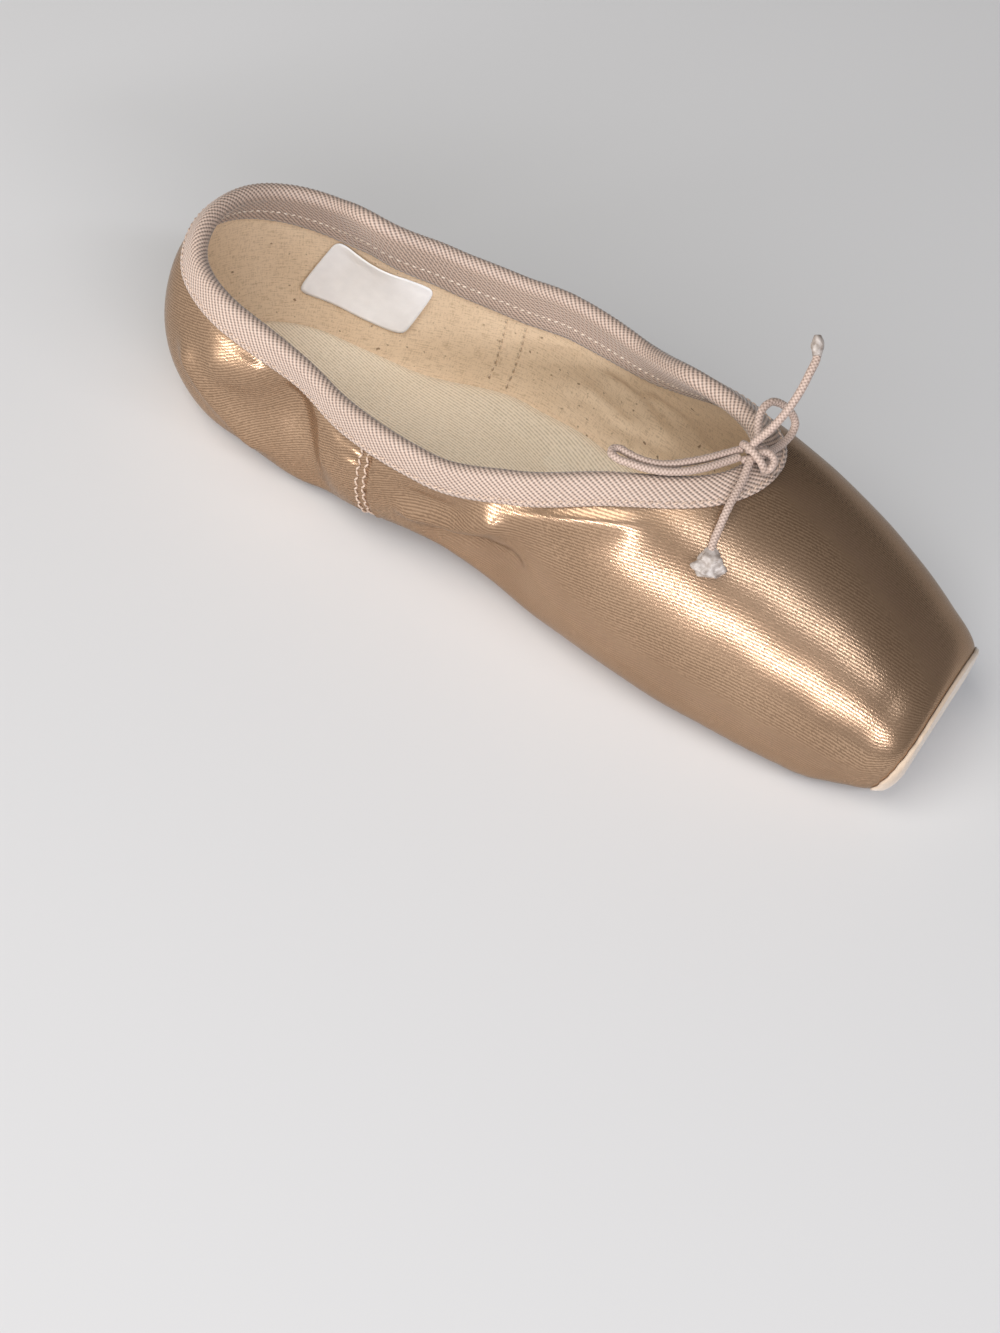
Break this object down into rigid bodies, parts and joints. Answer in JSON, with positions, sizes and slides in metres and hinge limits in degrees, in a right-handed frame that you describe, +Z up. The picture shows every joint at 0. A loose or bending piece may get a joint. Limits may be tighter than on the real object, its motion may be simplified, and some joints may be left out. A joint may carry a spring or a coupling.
{
  "type": "pointe shoe",
  "caption": "Satin pointe shoe with a hard box and flat platform, twill-bound collar tied by a drawstring bow, canvas insole and thin leather sole; stands empty.",
  "frame": {"origin": "middle of the shoe's box at the floor, cord left out", "axes": "+X towards the toe, +Y to the wearer's left, +Z up"},
  "size_m": [0.24, 0.078, 0.094],
  "materials": {
    "satin": "glossy peach satin with fine lengthwise threads, over a stiffened cotton lining",
    "twill_tape": "soft pinkish twill tape, matt with a slight sheen",
    "cord": "braided cotton cord, matt",
    "glued_tip": "cord end set in clear glue, a little milky",
    "canvas": "cream ribbed canvas, matt",
    "suede": "matt beige suede",
    "leather": "thin tan sole leather, matt with a bevelled edge"
  },
  "bodies": {
    "root": {"upper": "satin", "outsole": "leather", "insole": "canvas", "platform_patch": "suede", "collar_binding": "twill_tape", "drawstring_knot": "cord", "drawstring_long_loop": "cord", "drawstring_small_loop": "cord", "drawstring_standing_end": "cord", "drawstring_standing_tip": "glued_tip", "drawstring_lying_end": "cord", "drawstring_lying_tip": "glued_tip"}
  },
  "joints": []
}
